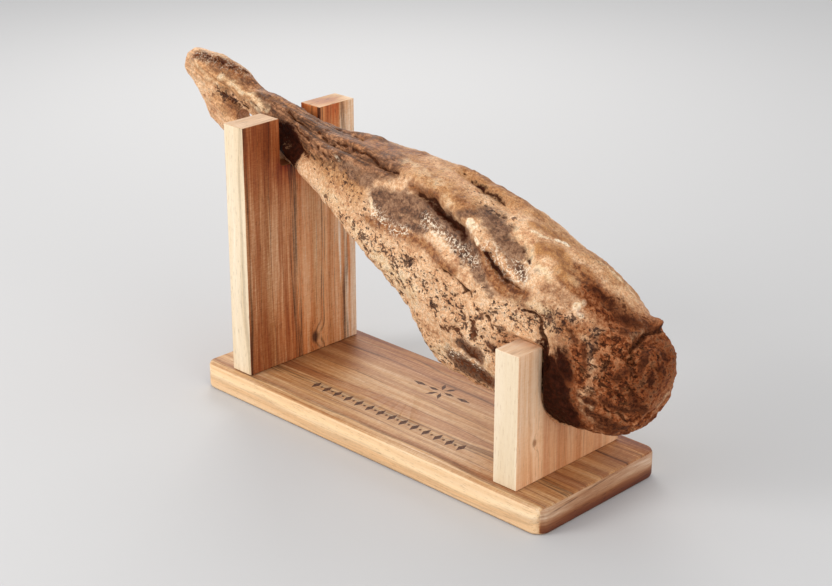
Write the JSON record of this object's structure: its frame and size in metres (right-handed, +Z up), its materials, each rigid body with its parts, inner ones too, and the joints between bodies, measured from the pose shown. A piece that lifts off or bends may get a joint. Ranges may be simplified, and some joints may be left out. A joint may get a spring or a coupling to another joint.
{
  "type": "cured ham",
  "caption": "Whole dried leg of ham with its bone, lying across a wooden stand with a tall notched upright and a low upright with a round cut.",
  "frame": {"origin": "middle of the base board's underside", "axes": "+X from the tall rear upright and the leg's thin end to the low front upright and the leg's thick end, +Y away from the side that is seen, +Z up"},
  "size_m": [0.5795, 0.1552, 0.2999],
  "materials": {
    "ham": "dried skin, fat and meat, satin",
    "base_board": "oiled hardwood, matt",
    "rear_upright": "oiled hardwood, matt",
    "front_upright": "oiled hardwood, matt"
  },
  "bodies": {
    "root": {"ham": "ham", "base_board": "base_board", "rear_upright": "rear_upright", "front_upright": "front_upright"}
  },
  "joints": []
}
